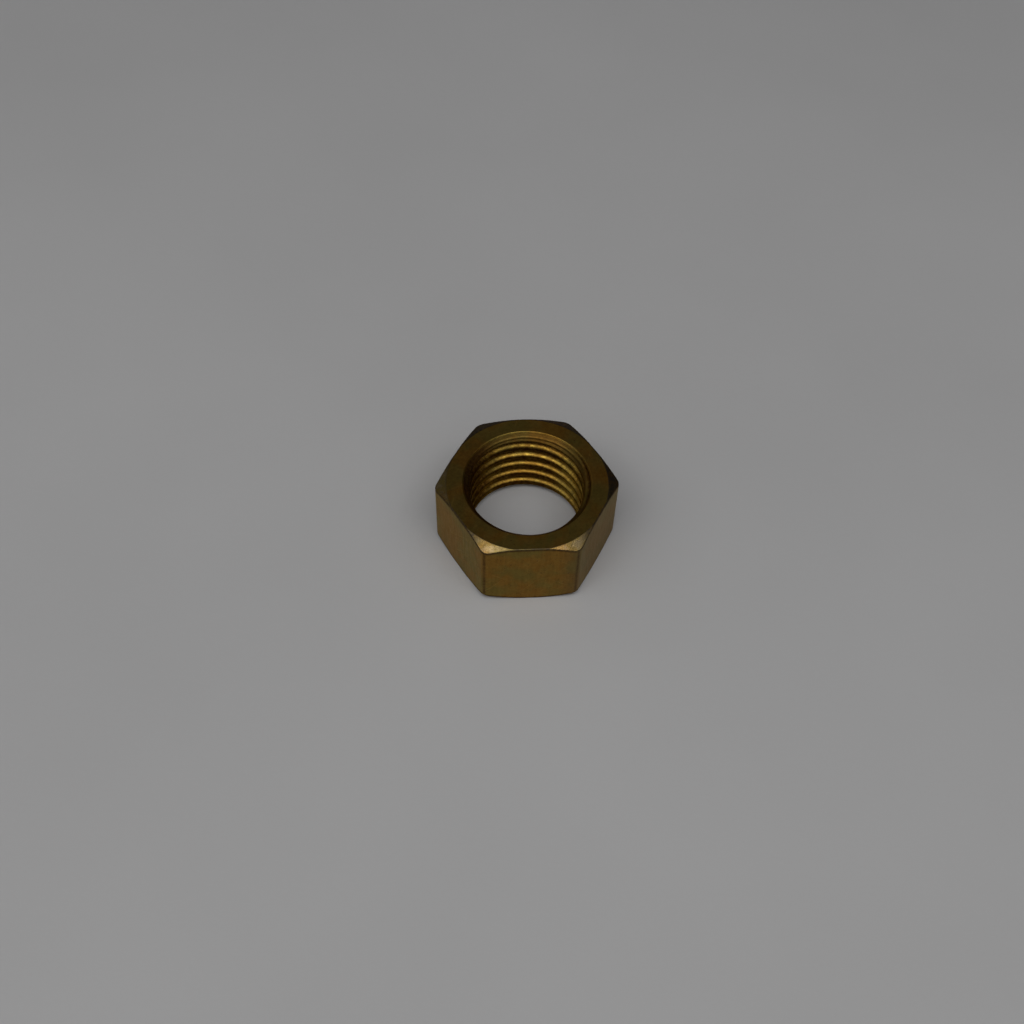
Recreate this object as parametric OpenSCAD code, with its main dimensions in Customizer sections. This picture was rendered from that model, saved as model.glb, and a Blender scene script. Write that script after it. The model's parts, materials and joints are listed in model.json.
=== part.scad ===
// Plain hex nut, chamfered on both ends, with a full-length right-hand 60 degree thread.
// The origin is the centre of the bottom face, +Z runs up the thread axis, and two of
// the six side faces point along +Y and -Y. All sizes are in millimetres.

/* [Hexagon] */
// Width across flats
across_flats = 14.29; // [13.6:0.01:17]
// Thickness from the bottom face to the top face
thickness = 7.8; // [5:0.1:12]
// Radius of the six upright edges
edge_radius = 0.9; // [0.2:0.1:1.4]

/* [Corner chamfers] */
// Diameter of the round face that the chamfers leave at each end
end_face_d = 14.2; // [13:0.01:14.25]
// Slope of the corner chamfers, in degrees below the end face
chamfer_slope = 30; // [15:1:40]

/* [Thread] */
// Major diameter, across the roots
major_d = 11.11; // [10.8:0.01:11.5]
// Minor diameter, across the crests
minor_d = 10.03; // [9.74:0.01:10.3]
// Pitch
pitch = 1.27; // [1:0.01:1.6]
// Height of a groove above mid-height where it crosses the +X side, in turns
thread_start = -0.1; // [-0.5:0.05:0.5]
// Straight steps in one turn of the thread
steps_per_turn = 36; // [24:12:60]

/* [Countersinks] */
// Diameter of the countersink mouth at each end
countersink_d = 11.42; // [11.2:0.01:12]
// Included angle of the countersinks
countersink_angle = 90; // [60:5:120]

/* [Hidden] */
$fn = 120;
// How far cutting shapes pass beyond the end faces
over = 1;

// Hexagon: sharp corner distance, distance of the edge rounding's centres, and a
// radius that clears the corners
corner_r = across_flats / 2 / cos(30);
rounding_r = corner_r - edge_radius / cos(30);
reach_r = corner_r + over;

// Heights where the chamfer cones and the countersink cones end
face_r = end_face_d / 2;
chamfer_drop = (reach_r - face_r) * tan(chamfer_slope);
mouth_r = countersink_d / 2;
minor_r = minor_d / 2;
countersink_depth = (mouth_r - minor_r) / tan(countersink_angle / 2);
mouth_flare = over * tan(countersink_angle / 2);

// Thread groove: a 60 degree section, an eighth of a pitch wide at the root, drawn
// from inside the bore so that the bore wall between its turns stays a true cylinder
major_r = major_d / 2;
groove_inner_r = minor_r - 0.25;
root_half = pitch / 16;
mouth_half = root_half + (major_r - groove_inner_r) * tan(30);
groove_section = [
    [groove_inner_r, -mouth_half],
    [major_r, -root_half],
    [major_r, root_half],
    [groove_inner_r, mouth_half]
];
groove_turns = ceil((thickness + 2 * over) / pitch);
groove_rings = groove_turns * steps_per_turn + 1;
groove_start_z = (thickness - groove_turns * pitch) / 2 + thread_start * pitch;

function groove_ring(i) =
    let (turn = i / steps_per_turn, angle = 360 * turn)
    [for (p = groove_section)
        [p[0] * cos(angle), p[0] * sin(angle), groove_start_z + pitch * turn + p[1]]];

// Six side faces with rounded upright edges between them
module rounded_hexagon_prism() {
    linear_extrude(thickness)
        offset(r = edge_radius, $fn = 48)
            circle(r = rounding_r, $fn = 6);
}

// The turned outline that cuts both ends' corners back to round faces
module chamfered_blank() {
    rotate_extrude()
        polygon([
            [0, 0],
            [face_r, 0],
            [reach_r, chamfer_drop],
            [reach_r, thickness - chamfer_drop],
            [face_r, thickness],
            [0, thickness]
        ]);
}

// Bore at the minor diameter, with a countersink at each end
module bore() {
    rotate_extrude()
        polygon([
            [0, -over],
            [mouth_r + mouth_flare, -over],
            [minor_r, countersink_depth],
            [minor_r, thickness - countersink_depth],
            [mouth_r + mouth_flare, thickness + over],
            [0, thickness + over]
        ]);
}

// One solid helical ridge, the shape of the space between the thread's crests
module thread_groove() {
    sides = len(groove_section);
    points = [for (i = [0:groove_rings - 1]) each groove_ring(i)];
    walls = [for (i = [0:groove_rings - 2], j = [0:sides - 1])
        let (a = i * sides + j, b = i * sides + (j + 1) % sides)
        each [[a, b + sides, a + sides], [a, b, b + sides]]];
    start_cap = [[for (j = [sides - 1:-1:0]) j]];
    end_cap = [[for (j = [0:sides - 1]) (groove_rings - 1) * sides + j]];
    polyhedron(points, concat(walls, start_cap, end_cap), convexity = 10);
}

module nut_body() {
    color("darkgoldenrod")
        difference() {
            intersection() {
                rounded_hexagon_prism();
                chamfered_blank();
            }
            bore();
            thread_groove();
        }
}

nut_body();
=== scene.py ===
"""Looks of a plain hex nut in aged brass: one piece of metal on a sheet of pale paper.

Everything Blender gets is in metres, in the part's own frame. The shape is worked out in millimetres.
Places round the nut are named as the camera sees them: front is -Y, back is +Y, left is -X and right is +X.
"""
import json
from math import atan2, cos, exp, pi, radians, sin, sqrt, tan

import bpy
from mathutils import Matrix, Vector


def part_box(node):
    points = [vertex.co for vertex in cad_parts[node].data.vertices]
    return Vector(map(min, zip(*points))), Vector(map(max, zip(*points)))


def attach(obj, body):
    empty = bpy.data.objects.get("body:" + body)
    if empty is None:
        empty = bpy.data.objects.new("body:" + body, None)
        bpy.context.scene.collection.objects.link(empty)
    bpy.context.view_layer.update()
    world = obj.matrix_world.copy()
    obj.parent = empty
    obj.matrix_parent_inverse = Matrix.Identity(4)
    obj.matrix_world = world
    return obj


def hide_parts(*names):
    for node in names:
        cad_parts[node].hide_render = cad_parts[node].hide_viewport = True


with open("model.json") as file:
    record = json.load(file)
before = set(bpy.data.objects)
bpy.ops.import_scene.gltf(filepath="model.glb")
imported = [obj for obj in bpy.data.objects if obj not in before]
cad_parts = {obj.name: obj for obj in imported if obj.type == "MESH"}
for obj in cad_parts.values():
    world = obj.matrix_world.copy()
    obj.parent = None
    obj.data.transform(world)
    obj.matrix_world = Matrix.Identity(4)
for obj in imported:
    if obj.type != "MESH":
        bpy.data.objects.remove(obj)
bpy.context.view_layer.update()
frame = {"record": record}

MM = 0.001
NODE = "nut_body"

# ---------------------------------------------------------------------------
# Sizes of the nut in millimetres, read from the frame
# ---------------------------------------------------------------------------
low, high = (Vector(corner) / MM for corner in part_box(NODE))
height = high.z - low.z
flat_r = (high.y - low.y) / 2
reach_r = (high.x - low.x) / 2
cos_30 = cos(radians(30))
edge_r = (flat_r / cos_30 - reach_r) / (1 / cos_30 - 1)
rounding_r = reach_r - edge_r

mounts = {m["name"]: m for m in frame["record"]["mounts"]}
minor_r = mounts["thread"]["dims"]["r_mm"]
sink_depth = (height - mounts["thread"]["dims"]["length_mm"]) / 2

# Sizes that the frame doesn't state, as in the part's design
pitch = 1.27
major_r = 11.11 / 2
face_r = 14.2 / 2
chamfer_slope = radians(30)
sink_slope = radians(45)
flank_slope = radians(30)
root_flat = pitch / 8
mouth_r = minor_r + sink_depth * tan(sink_slope)
# Height of a groove above mid-height where it crosses the +X side, in turns
thread_start = -0.1

# The top chamfer was turned a little off centre, so it is widest at the back corners
top_face_r = face_r + 0.05
top_face_shift = 0.08

# Rounding that tools and handling leave on the edges, as radii
rim_round = 0.07
outer_round = 0.11
crest_round = 0.16
worn_crest_round = 0.38
root_round = 0.08
runout_round = 0.035
# Bolts have worn the thread's first turns: fully down to the first depth from the top, and not at all past
# the second
worn_depths = 2.0, 2.8

# The countersink's cutter left a fine ring: how deep down it lies, how high it stands and how wide it is
ring_depth, ring_height, ring_width = 0.39, 0.03, 0.045

# Breadths of the dark lines along the top and bottom edges of a side, and down an upright edge
edge_line = 0.16
ridge_line = 0.13

# Zones of the surface, which are also the order of the nut's material slots
TURNED, CHAMFER, DRAWN, THREAD = range(4)

# Directions from the axis, in degrees
RIGHT, BACK, LEFT, FRONT = 0, 90, 180, 270


# ---------------------------------------------------------------------------
# Outline of the outside
# ---------------------------------------------------------------------------
def ramp(value, start, end):
    """0 at start, 1 at end, and smooth in between."""
    t = min(max((value - start) / (end - start), 0), 1)
    return t * t * (3 - 2 * t)


def facing(angle, direction, start, end):
    """1 where an angle is close to a direction and 0 away from it, as a ramp between two cosines."""
    return ramp(cos(angle - radians(direction)), start, end)


def corner_half_angle():
    """Half of the angle, seen from the axis, that a rounded upright edge takes up."""
    return atan2(edge_r / 2, rounding_r + edge_r * cos_30)


def off_corner(angle):
    """Angle from the nearest of the six corners, which lie at 0, 60, 120 degrees and so on."""
    return (angle + pi / 6) % (pi / 3) - pi / 6


def hexagon_radius(angle):
    """Distance from the axis to the rounded hexagon at an angle."""
    off = abs(off_corner(angle))
    if off > corner_half_angle():
        return flat_r / cos(off - pi / 6)
    return rounding_r * cos(off) + sqrt(edge_r**2 - (rounding_r * sin(off)) ** 2)


def column_angles():
    """Angles of the mesh's columns, close together on the rounded corners and wider along the flats."""
    half = corner_half_angle()
    corner_steps, flat_steps = 12, 36
    sector = [-half + 2 * half * i / corner_steps for i in range(corner_steps)]
    flat = pi / 3 - 2 * half
    sector += [half + flat * i / flat_steps for i in range(flat_steps)]
    return [k * pi / 3 + a for k in range(6) for a in sector]


def top_face_radius(angle):
    """Distance from the axis to the off-centre circle where the top chamfers begin."""
    along = -top_face_shift * sin(angle)
    return along + sqrt(top_face_r**2 - top_face_shift**2 + along**2)


class Outline:
    """Points down a slice of the nut's outside, with how polished and tarnished each is, painted highlight
    and painted shade included, and its zone.
    """

    def __init__(self):
        self.points, self.polish, self.tarnish, self.zones = [], [], [], []

    def put(self, point, zone, polish=0.0, tarnish=0.0):
        self.points.append(point)
        self.zones.append(zone)
        self.polish.append(polish)
        self.tarnish.append(tarnish)

    def line(self, start, end, steps, zone, polish=lambda t: 0.0, tarnish=lambda t: 0.0):
        """Points from start up to, but not including, end. They crowd towards both ends."""
        for i in range(steps):
            t = i / steps
            eased = t - 0.8 * sin(2 * pi * t) / (2 * pi)
            self.put(start.lerp(end, eased), zone, polish(t), tarnish(t))

    def arc(self, centre, radius, first, last, steps, zone, polish=0.0, tarnish=0.0):
        """Points round an arc between two directions, as angles above outward, without the last one."""
        for i in range(steps):
            a = first + (last - first) * i / steps
            self.put(centre + radius * Vector((cos(a), sin(a))), zone, polish, tarnish)

    def drop_last(self):
        """Takes the last point off and gives it back."""
        for values in (self.zones, self.polish, self.tarnish):
            values.pop()
        return self.points.pop()

    def add_below(self, other):
        """Goes on with another outline of an end, turned upside down and run backwards."""
        for i in reversed(range(len(other.points))):
            point = Vector((other.points[i].x, height - other.points[i].y))
            # A zone belongs to the stretch after its point, so reversing moves each one along by a point
            zone = other.zones[max(i - 1, 0)]
            self.put(point, zone, other.polish[i], other.tarnish[i])


def end_outline(r, face, handling_and_highlight, ring_shade):
    """Outline of the upper end in one slice: rim, flat ring, corner chamfer, top of the side.

    r and face are the distances of the side and of the chamfer's start from the axis. The third argument
    says how bright the chamfer is kept, partly by handling and partly as painted highlight, and the fourth
    how much painted shade darkens the flat ring, both from 0 to 1.
    """
    out = Outline()
    up, outward = pi / 2, 0.0
    chamfer_up = up - chamfer_slope
    sink_up = pi - sink_slope

    # The outside's grid starts a little way down the countersink
    sink_stretch = 0.1
    rim_bend = rim_round * tan((pi / 2 - sink_slope) / 2)
    rim = Vector((mouth_r + rim_bend, height - rim_round))
    rim_start = rim + rim_round * Vector((cos(sink_up), sin(sink_up)))
    sink_point = rim_start - sink_stretch * Vector((sin(sink_slope), cos(sink_slope)))
    out.line(sink_point, rim_start, 2, THREAD)
    out.arc(rim, rim_round, sink_up, up, 4, TURNED, polish=0.5)

    # The rounding's centres follow the outline at the rounding's radius inside it. Where a flat leaves no
    # room for a chamfer, a sliver keeps the two centres apart
    sliver = 0.004
    inner = Vector((r - outer_round, height - outer_round))
    width = max(r - face - outer_round * (1 - tan(chamfer_slope / 2)), sliver)
    upper = inner - Vector((width, 0))
    lower = inner - Vector((0, width * tan(chamfer_slope)))
    # Painted highlight on the chamfer where it is kept bright; elsewhere, and where the chamfer narrows to
    # nothing, painted shade darkens the chamfer and its edges
    shine = handling_and_highlight * ramp(width, 0.03, 0.3)
    dull = 0.9 * (1 - handling_and_highlight)
    # Painted shade on the flat ring
    out.line(Vector((rim.x, height)), Vector((upper.x, height)), 14, TURNED, tarnish=lambda t: ring_shade)
    out.arc(upper, outer_round, up, chamfer_up, 4, CHAMFER, 0.3 * shine, 0.95 - 0.5 * shine)
    slope = outer_round * Vector((cos(chamfer_up), sin(chamfer_up)))
    out.line(
        upper + slope,
        lower + slope,
        12,
        CHAMFER,
        polish=lambda t: shine * (0.15 + 0.85 * sin(pi * t)),
        tarnish=lambda t: max(dull, 0.65 - sin(pi * t), 0.25),
    )
    out.arc(lower, outer_round, chamfer_up, outward, 6, CHAMFER, 0.2 * shine, 0.85 - 0.15 * shine)
    side = Vector((r, lower.y))
    below_line = side - Vector((0, edge_line))
    # Dark line down from the side's edge; at the nut's bottom it is painted shadow where the nut stands on
    # the paper
    out.line(side, below_line, 4, DRAWN, tarnish=lambda t: 0.95 - 0.7 * t**2)
    out.put(below_line, DRAWN)
    return out


def slice_outline(angle):
    """Outline of the outside in the half-plane at an angle, from the hole's top round to its bottom."""
    # Painted highlight, partly also handling wear: the top chamfers are kept bright between the front
    # corners, and less so at the left corner, and get painted shade elsewhere. Painted shade darkens the
    # flat rings most at the left, and a little at the right
    handling_and_highlight = max(facing(angle, FRONT, 0.72, 0.87), 0.85 * facing(angle, LEFT, 0.7, 0.9))
    handled_below = 0.4
    ring_shade = 0.34 * facing(angle, LEFT, 0.2, 0.8) + 0.16 * facing(angle, RIGHT, 0.2, 0.8)
    r = hexagon_radius(angle)
    outline = end_outline(r, top_face_radius(angle), handling_and_highlight, ring_shade)
    bottom = end_outline(r, face_r, handled_below, ring_shade)
    ridge = exp(-((off_corner(angle) * reach_r / ridge_line) ** 2))
    start = outline.drop_last()
    end = Vector((bottom.points[-1].x, height - bottom.points[-1].y))
    # Darker down each upright edge
    outline.line(start, end, 36, DRAWN, tarnish=lambda t: 0.9 * ridge)
    outline.add_below(bottom)
    return outline


# ---------------------------------------------------------------------------
# Wall of the hole
# ---------------------------------------------------------------------------
def smooth_max(a, b, k):
    """The larger of two values, with the switch between them rounded over about k."""
    h = max(k - abs(a - b), 0) / k
    return max(a, b) + h * h * k / 4


def thread_radius(turn, z):
    """Radius of the thread's wall at a turn and a height. A groove's middle is at thread_start."""
    off = abs((turn - thread_start + 0.5) % 1 - 0.5) * pitch
    flank = major_r - (off - root_flat / 2) / tan(flank_slope)
    root = -smooth_max(-major_r, -flank, root_round)
    worn = ramp(z, height - worn_depths[1], height - worn_depths[0])
    return smooth_max(minor_r, root, crest_round + worn * (worn_crest_round - crest_round))


def sink_radius(z):
    """Radius of the countersink at a height, with its cutter's ring; small between the two countersinks."""
    depth = min(height - z, z)
    ring = ring_height * exp(-(((depth - ring_depth) / ring_width) ** 2))
    return mouth_r - depth * tan(sink_slope) - ring


class WearAndPaintedLight:
    """How polished and how tarnished the hole's wall is at one angle, painted highlights and painted shade
    included.
    """

    def __init__(self, angle):
        # Polish for wear by bolts at the back right, and most on the first turns at the back; it also paints
        # the bands' highlights there
        self.rubbed_and_highlight = 0.52 * facing(angle, 55, -0.1, 0.6)
        self.rubbed_first_and_highlight = 1.3 * facing(angle, 104, 0.7, 0.92)
        # Painted shade: crests darkest at the back, where they mirror the dark wall across the hole, and the
        # thread darkened on the left, which lies in shade
        self.crest_shade = 0.25 + 0.75 * facing(angle, BACK, 0.55, 0.9)
        self.left_shade = 0.95 * facing(angle, LEFT, 0.35, 0.8)

    def at(self, thread, z, in_thread):
        """Polish and tarnish, with painted highlight and painted shade, for a radius of the thread.
        in_thread is 0 in a countersink and 1 past it.
        """
        # Painted shade on the crests, and darker in the roots
        crest = 1 - ramp(thread, minor_r + 0.01, minor_r + 0.22)
        root = ramp(thread, major_r - 0.40, major_r - 0.06)
        grime_and_shade = max(crest * self.crest_shade, root)
        # Polish that also paints the highlights of the thread's bright bands
        rubbing_and_highlight = min(self.rubbed_and_highlight + self.rubbed_first_and_highlight * ramp(z, height - 3.2, height - 2.2), 1)
        polish = rubbing_and_highlight * (0.3 + in_thread * (0.7 - grime_and_shade))
        tarnish = max(self.left_shade, 0.45 + in_thread * (grime_and_shade - 0.45))
        return polish, tarnish


# ---------------------------------------------------------------------------
# Mesh of the nut
# ---------------------------------------------------------------------------
class Skin:
    """The nut's surface: vertices with their polish and tarnish, painted highlight and painted shade
    included, and zone, and faces between their columns.
    """

    def __init__(self):
        self.vertices, self.polish, self.tarnish, self.zones = [], [], [], []
        self.faces, self.face_zones = [], []

    def put(self, r, angle, z, polish, tarnish, zone):
        """Adds a vertex and gives its number."""
        self.vertices.append((r * cos(angle), r * sin(angle), z))
        self.polish.append(polish)
        self.tarnish.append(tarnish)
        self.zones.append(zone)
        return len(self.vertices) - 1

    def join(self, a, b, shift=0):
        """Faces between two columns, where the second one's rows start shift further on."""
        for i in range(len(a) - 1 - shift):
            corners = [a[i], a[i + 1], b[i + 1 + shift], b[i + shift]]
            corners = [c for i, c in enumerate(corners) if c != corners[i - 1]]
            if len(corners) > 2:
                self.faces.append(corners)
                self.face_zones.append(self.zones[a[i]])

    def mesh(self, name):
        made = bpy.data.meshes.new(name)
        made.from_pydata([Vector(v) * MM for v in self.vertices], [], self.faces)
        made.polygons.foreach_set("material_index", self.face_zones)
        made.polygons.foreach_set("use_smooth", [True] * len(self.faces))
        for attribute, values in (("polish", self.polish), ("tarnish", self.tarnish)):
            made.attributes.new(attribute, "FLOAT", "POINT").data.foreach_set("value", values)
        made.validate()
        made.update()
        return made


def outside_column(skin, angle):
    """Vertices down the outside at an angle."""
    outline = slice_outline(angle)
    rows = zip(outline.points, outline.polish, outline.tarnish, outline.zones)
    return [skin.put(p.x, angle, p.y, polish, tarnish, zone) for p, polish, tarnish, zone in rows]


def bore_column(skin, angle, outside, rows_per_turn, turns):
    """Vertices up the hole at an angle, in rows that follow the helix; past the hole, the outside's ends."""
    top_z, bottom_z = skin.vertices[outside[0]][2], skin.vertices[outside[-1]][2]
    # Keeps a row from lying so close to the outside's end that its faces are slivers
    seam_gap = 0.012
    wear_and_light = WearAndPaintedLight(angle)
    column = []
    for i in range(turns * rows_per_turn):
        turn = i / rows_per_turn - turns / 2
        z = height / 2 + pitch * (turn + angle / (2 * pi))
        if z >= top_z - seam_gap:
            column.append(outside[0])
        elif z <= bottom_z + seam_gap:
            column.append(outside[-1])
        else:
            thread, sink = thread_radius(turn, z), sink_radius(z)
            in_thread = ramp(thread - sink, 0.0, 0.06)
            polish, tarnish = wear_and_light.at(thread, z, in_thread)
            zone = THREAD if in_thread > 0.5 else TURNED
            r = smooth_max(thread, sink, runout_round)
            column.append(skin.put(r, angle, z, polish, tarnish, zone))
    return column


def build_nut():
    """One closed mesh: the outside as a grid of slices, and the hole as a grid that follows the helix."""
    skin = Skin()
    rows_per_turn = 28
    # Enough turns for the helix to pass both ends at every angle
    turns = int(height / pitch) + 3
    angles = column_angles()
    outside = [outside_column(skin, angle) for angle in angles]
    bore = [bore_column(skin, a, ends, rows_per_turn, turns) for a, ends in zip(angles, outside)]
    for j in range(len(angles)):
        k = (j + 1) % len(angles)
        skin.join(outside[j], outside[k])
        # The last column meets the first one turn of the helix further on
        skin.join(bore[j], bore[k], shift=rows_per_turn if k == 0 else 0)
    return skin.mesh("nut")


# ---------------------------------------------------------------------------
# Materials
# ---------------------------------------------------------------------------
class Nodes:
    """Short calls for building one material's node tree."""

    def __init__(self, name):
        self.material = bpy.data.materials.new(name)
        self.material.use_nodes = True
        self.tree = self.material.node_tree
        self.shader = self.tree.nodes["Principled BSDF"]

    def node(self, kind, inputs=None, **settings):
        made = self.tree.nodes.new(kind)
        for key, value in settings.items():
            setattr(made, key, value)
        for key, value in (inputs or {}).items():
            self.put(made.inputs[key], value)
        return made

    def put(self, socket, value):
        if isinstance(value, bpy.types.NodeSocket):
            self.tree.links.new(value, socket)
        else:
            socket.default_value = value

    def math(self, operation, *values):
        made = self.node("ShaderNodeMath", operation=operation)
        for i, value in enumerate(values):
            self.put(made.inputs[i], value)
        return made.outputs[0]

    def mix(self, share, a, b):
        made = self.node("ShaderNodeMix", data_type="RGBA")
        colours = [s for s in made.inputs if s.type == "RGBA"]
        self.put(made.inputs["Factor"], share)
        self.put(colours[0], a)
        self.put(colours[1], b)
        return next(s for s in made.outputs if s.type == "RGBA")

    def remap(self, value, low_in, high_in, low_out=0.0, high_out=1.0):
        ends = {"From Min": low_in, "From Max": high_in, "To Min": low_out, "To Max": high_out}
        return self.node("ShaderNodeMapRange", {"Value": value, **ends}).outputs["Result"]

    def vector_math(self, operation, inputs, output=0):
        return self.node("ShaderNodeVectorMath", inputs, operation=operation).outputs[output]

    def millimetres(self):
        """The point in the part's frame, in millimetres."""
        place = self.node("ShaderNodeTexCoord").outputs["Object"]
        return self.vector_math("SCALE", {"Vector": place, "Scale": 1 / MM})

    def stretch(self, point, x, y, z):
        return self.vector_math("MULTIPLY", {0: point, 1: (x, y, z)})

    def shifted(self, point, x, y, z):
        return self.vector_math("ADD", {0: point, 1: (x, y, z)})

    def polar(self, point):
        """The point as distance from the axis, length along a 5 mm circle, and height."""
        x, y, z = self.node("ShaderNodeSeparateXYZ", {0: point}).outputs
        flat = self.node("ShaderNodeCombineXYZ", {0: x, 1: y}).outputs[0]
        r = self.vector_math("LENGTH", {0: flat}, "Value")
        arc = self.math("MULTIPLY", self.math("ARCTAN2", y, x), 5.0)
        return self.node("ShaderNodeCombineXYZ", {0: r, 1: arc, 2: z}).outputs[0]

    def noise(self, point, per_mm, detail=3.0, rough=0.55):
        inputs = {"Vector": point, "Scale": per_mm, "Detail": detail, "Roughness": rough}
        return self.node("ShaderNodeTexNoise", inputs).outputs["Fac"]

    def scratches(self, point):
        """Sparse fine scratches in two directions, from 0 to 1: thin tilted leaves cut the surface there."""
        found = []
        for axis, angle in (((0.3, 1, 0), 0.9), ((1, 0.5, 0), -1.0)):
            inputs = {"Vector": point, "Axis": axis, "Angle": angle}
            tilted = self.node("ShaderNodeVectorRotate", inputs).outputs[0]
            leaves = self.stretch(tilted, 0.3, 0.3, 7.0)
            found.append(self.remap(self.noise(leaves, 1.0, 1.0, 0.5), 0.70, 0.76))
        return self.math("MAXIMUM", *found)

    def attribute(self, name):
        return self.node("ShaderNodeAttribute", attribute_name=name).outputs["Fac"]

    def bump(self, height_value, distance_mm, normal=None):
        made = self.node("ShaderNodeBump", {"Height": height_value, "Distance": distance_mm * MM})
        if normal is not None:
            self.put(made.inputs["Normal"], normal)
        return made.outputs["Normal"]


# PALE and YELLOW, the polished colours of chamfer and thread, also paint highlights; BROWN, DARK_RED and
# GREY_BROWN, tarnish colours, also paint shade
PALE = (0.30, 0.222, 0.120, 1)
YELLOW = (0.72, 0.465, 0.08, 1)
GOLD = (0.42, 0.26, 0.06, 1)
OLIVE = (0.232, 0.165, 0.034, 1)
RUST = (0.298, 0.151, 0.023, 1)
BROWN = (0.085, 0.036, 0.010, 1)
DARK_RED = (0.055, 0.019, 0.003, 1)
GREY_BROWN = (0.080, 0.062, 0.045, 1)
# Brown of the painted shade on the front-right side
SHADE_BROWN = (0.12, 0.085, 0.045, 1)


def turned_marks(n, point):
    """Rings round the axis, as a lathe leaves them."""
    return n.stretch(n.polar(point), 1.0, 0.06, 1.0)


def drawn_marks(n, point):
    """Lines along the axis, as drawn bar has."""
    return n.stretch(point, 1.0, 1.0, 0.12)


def chatter_marks(n, point):
    """Short ripples across the thread, as a tap leaves them."""
    return n.stretch(n.polar(point), 0.6, 1.0, 0.6)


def plain_marks(n, point):
    """No direction."""
    return point


def shade_on_front_right(n, point, colour):
    """Painted shade: darkens the side between the front and the right, most of all at the flat itself."""
    outward = n.vector_math("DOT_PRODUCT", {0: point, 1: (cos_30, -0.5, 0.0)}, "Value")
    return n.mix(n.remap(outward, 5.6, flat_r, 0.0, 0.45), colour, SHADE_BROWN)


def brass(name, marks, relief, dullness, polished, gloss, tarnished, edge_tint, painted_shade=None):
    """Aged brass: olive and rust-brown patches, bright blotches, polished and tarnished places that also
    hold painted highlights and painted shade, fine marks.

    marks and gloss are each a pair: a function that turns a point into one whose noise runs with the marks,
    and how fine that noise is per millimetre. marks are what the tool left, and gloss breaks up the polished
    places. relief is the depth of the marks in millimetres, and dullness is the roughness. The colour of the
    polished places also paints highlights, and that of the tarnished places also paints shade; edge_tint is
    the metal's colour where it is seen edge on. The last argument, when given, paints shade over the colour
    last.
    """
    n = Nodes(name)
    point = n.millimetres()
    follow_marks, marks_per_mm = marks
    follow_gloss, gloss_per_mm = gloss
    lines = n.noise(follow_marks(n, point), marks_per_mm, 4.0, 0.6)
    patches = n.remap(n.noise(n.shifted(point, 3.0, 1.0, 5.0), 0.38, 4.0), 0.42, 0.58)
    blotches = n.remap(n.noise(point, 1.1, 4.0, 0.6), 0.42, 0.72)
    grain = n.noise(point, 14.0, 3.0, 0.7)
    specks = n.noise(point, 3.5, 4.0, 0.65)
    scratches = n.scratches(point)
    pits = n.remap(n.noise(point, 5.0, 2.0, 0.5), 0.64, 0.72)

    # Where the metal is polished, with painted highlights, and where grime has settled, with painted shade
    glossy = n.remap(n.noise(follow_gloss(n, point), gloss_per_mm, 3.0, 0.6), 0.42, 0.60, 0.05, 1.0)
    worn = n.remap(n.noise(n.shifted(point, 8.0, 2.0, 0.0), 0.45, 2.0), 0.38, 0.60, 0.35, 1.0)
    shine = n.math("MULTIPLY", n.attribute("polish"), n.math("MULTIPLY", glossy, worn))
    grime_and_shade = n.math("MULTIPLY", n.attribute("tarnish"), n.remap(specks, 0.38, 0.58, 0.6, 1.0))

    colour = n.mix(patches, OLIVE, RUST)
    colour = n.mix(n.math("MULTIPLY", blotches, 0.3), colour, GOLD)
    colour = n.mix(n.remap(specks, 0.35, 0.70, 0.0, 0.25), colour, tarnished)
    colour = n.mix(n.remap(lines, 0.45, 0.70, 0.0, 0.12), colour, tarnished)
    colour = n.mix(n.math("MULTIPLY", scratches, 0.35), colour, GOLD)
    # Polish brings in painted highlights, and tarnish painted shade
    colour = n.mix(shine, colour, polished)
    colour = n.mix(n.math("MAXIMUM", grime_and_shade, n.math("MULTIPLY", pits, 0.6)), colour, tarnished)
    # Painted shade over the colour, where given
    if painted_shade:
        colour = painted_shade(n, point, colour)
    n.put(n.shader.inputs["Base Color"], colour)
    n.shader.inputs["Metallic"].default_value = 1.0
    n.shader.inputs["Specular Tint"].default_value = edge_tint

    rough = n.remap(n.math("ADD", grain, lines), 0.7, 1.3, dullness - 0.06, dullness + 0.10)
    rough = n.math("SUBTRACT", rough, n.math("MULTIPLY", shine, 0.14))
    rough = n.math("ADD", rough, n.math("MULTIPLY", grime_and_shade, 0.15))
    n.put(n.shader.inputs["Roughness"], rough)

    bumps = n.bump(lines, relief)
    bumps = n.bump(grain, 0.004, bumps)
    bumps = n.bump(n.math("ADD", scratches, pits), -0.004, bumps)
    n.put(n.shader.inputs["Normal"], bumps)
    return n.material


def turned_brass():
    """The end faces, cut on a lathe."""
    return brass(
        "brass_turned",
        marks=(turned_marks, 5.0),
        relief=0.012,
        dullness=0.34,
        polished=GOLD,
        gloss=(turned_marks, 5.0),
        tarnished=BROWN,
        edge_tint=(1.0, 0.90, 0.75, 1),
    )


def chamfer_brass():
    """The corner chamfers, which handling polishes, with painted highlights and painted shade on them."""
    return brass(
        "brass_chamfer",
        marks=(turned_marks, 5.0),
        relief=0.010,
        dullness=0.28,
        polished=PALE,
        gloss=(plain_marks, 1.3),
        tarnished=GREY_BROWN,
        edge_tint=(0.60, 0.57, 0.58, 1),
    )


def drawn_brass():
    """The six sides, as the bar was drawn, with painted shade towards the front-right."""
    return brass(
        "brass_drawn",
        marks=(drawn_marks, 5.0),
        relief=0.012,
        dullness=0.42,
        polished=GOLD,
        gloss=(plain_marks, 1.1),
        tarnished=BROWN,
        edge_tint=(1.0, 0.93, 0.75, 1),
        painted_shade=shade_on_front_right,
    )


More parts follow.
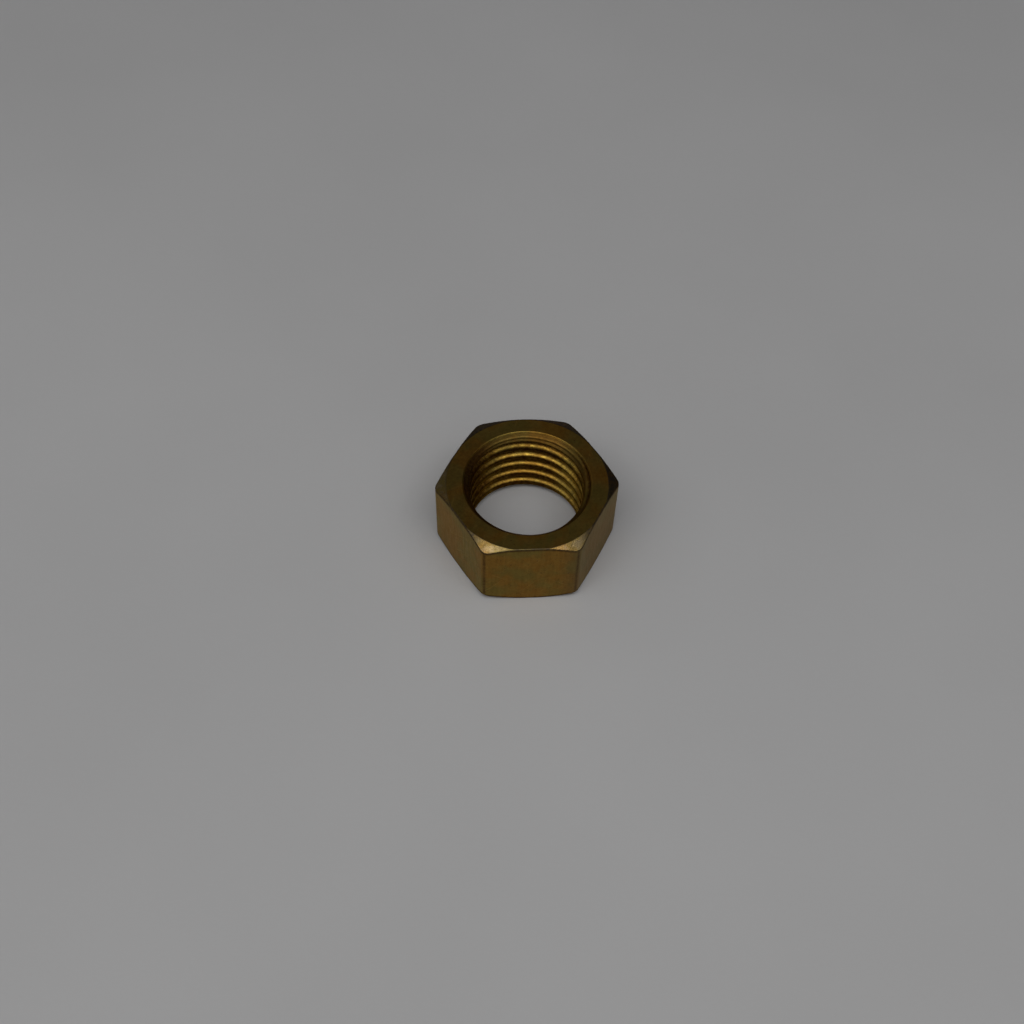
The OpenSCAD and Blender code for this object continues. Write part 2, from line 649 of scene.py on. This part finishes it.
def thread_brass():
    """The thread, cut with a tap."""
    return brass(
        "brass_thread",
        marks=(chatter_marks, 2.4),
        relief=0.045,
        dullness=0.35,
        polished=YELLOW,
        gloss=(chatter_marks, 2.4),
        tarnished=DARK_RED,
        edge_tint=(0.95, 0.72, 0.42, 1),
    )


def paper():
    """Pale paper, a little cloudy, with fine fibres."""
    n = Nodes("pale_paper")
    point = n.millimetres()
    cloud = n.noise(point, 0.02, 3.0)
    fibre = n.noise(point, 1.6, 4.0, 0.7)
    colour = n.mix(n.remap(cloud, 0.3, 0.7), (0.60, 0.595, 0.59, 1), (0.64, 0.635, 0.63, 1))
    n.put(n.shader.inputs["Base Color"], colour)
    n.shader.inputs["Roughness"].default_value = 0.9
    n.shader.inputs["Specular IOR Level"].default_value = 0.2
    n.put(n.shader.inputs["Normal"], n.bump(fibre, 0.02))
    return n.material


# ---------------------------------------------------------------------------
# Pieces
# ---------------------------------------------------------------------------
nut = bpy.data.objects.new("hex_nut", build_nut())
bpy.context.scene.collection.objects.link(nut)
# In the order of the zones
for finish in (turned_brass(), chamfer_brass(), drawn_brass(), thread_brass()):
    nut.data.materials.append(finish)
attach(nut, "root")
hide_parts(NODE)

# A sheet of A4 paper; beyond it is the dark room, which the nut's far chamfers mirror
paper_size = (0.297, 0.210)
paper_mesh = bpy.data.meshes.new("paper")
half_x, half_y = paper_size[0] / 2, paper_size[1] / 2
corners = [(-half_x, -half_y, 0), (half_x, -half_y, 0), (half_x, half_y, 0), (-half_x, half_y, 0)]
paper_mesh.from_pydata(corners, [], [(0, 1, 2, 3)])
floor = bpy.data.objects.new("floor", paper_mesh)
bpy.context.scene.collection.objects.link(floor)
floor.data.materials.append(paper())

# ---------------------------------------------------------------------------
# Camera: above and in front, a few degrees off square to the front flat
# ---------------------------------------------------------------------------
look_down = radians(54.7)
look_turn = radians(-4.19)
look_roll = radians(1.79)
look_distance = 117.24 * MM
# Where the nut's middle sits off the lens axis: to the right, and up
off_axis = Vector((1.284, 0.378, 0)) * MM

camera_data = bpy.data.cameras.new("camera")
camera_data.sensor_width = 36
camera_data.lens = 45.7
camera_data.clip_start = 0.005
camera = bpy.data.objects.new("camera", camera_data)
bpy.context.scene.collection.objects.link(camera)
bpy.context.scene.camera = camera
facing_nut = Matrix.Rotation(look_turn, 4, "Z") @ Matrix.Rotation(pi / 2 - look_down, 4, "X")
facing_nut = facing_nut @ Matrix.Rotation(look_roll, 4, "Z")
middle = Vector((0, 0, height / 2 * MM))
set_back = Matrix.Translation(Vector((0, 0, look_distance)) - off_axis)
camera.matrix_world = Matrix.Translation(middle) @ facing_nut @ set_back


# ---------------------------------------------------------------------------
# Light: soft boxes overhead, and weaker ones to the left and the back, in a nearly dark room
# ---------------------------------------------------------------------------
def soft_box(name, place, size, radiance, aim):
    """A rectangular lamp that faces along aim. Its power follows from how bright its face is."""
    data = bpy.data.lights.new(name, "AREA")
    data.shape = "RECTANGLE"
    data.size, data.size_y = size
    data.energy = radiance * pi * data.size * data.size_y
    lamp = bpy.data.objects.new(name, data)
    lamp.location = place
    lamp.rotation_mode = "QUATERNION"
    lamp.rotation_quaternion = Vector(aim).to_track_quat("-Z", "Y")
    lamp.visible_camera = False
    bpy.context.scene.collection.objects.link(lamp)


def dim_room():
    """A nearly dark room round the lamps, with a pale backdrop where the camera looks past the paper."""
    world = bpy.data.worlds.new("room")
    bpy.context.scene.world = world
    world.use_nodes = True
    nodes, links = world.node_tree.nodes, world.node_tree.links
    room = nodes["Background"]
    room.inputs["Color"].default_value = (0.021, 0.022, 0.027, 1)
    backdrop = nodes.new("ShaderNodeBackground")
    backdrop.inputs["Color"].default_value = (0.26, 0.26, 0.26, 1)
    seen = nodes.new("ShaderNodeLightPath").outputs["Is Camera Ray"]
    choose = nodes.new("ShaderNodeMixShader")
    links.new(seen, choose.inputs[0])
    links.new(room.outputs[0], choose.inputs[1])
    links.new(backdrop.outputs[0], choose.inputs[2])
    links.new(choose.outputs[0], nodes["World Output"].inputs["Surface"])


down = (0, 0, -1)
soft_box("overhead", (-0.12, -0.25, 0.50), (1.20, 0.60), 0.66, down)
soft_box("strip", (-0.05, -0.20, 0.49), (0.62, 0.15), 2.2, down)
for name, place, size, radiance in (
    ("fill_left", (-0.45, 0.33, 0.25), (0.35, 0.40), 0.14),
    ("fill_back", (-0.12, 0.42, 0.50), (0.60, 0.30), 0.12),
):
    soft_box(name, place, size, radiance, [-v for v in place])
dim_room()
bpy.context.scene.view_settings.view_transform = "Standard"
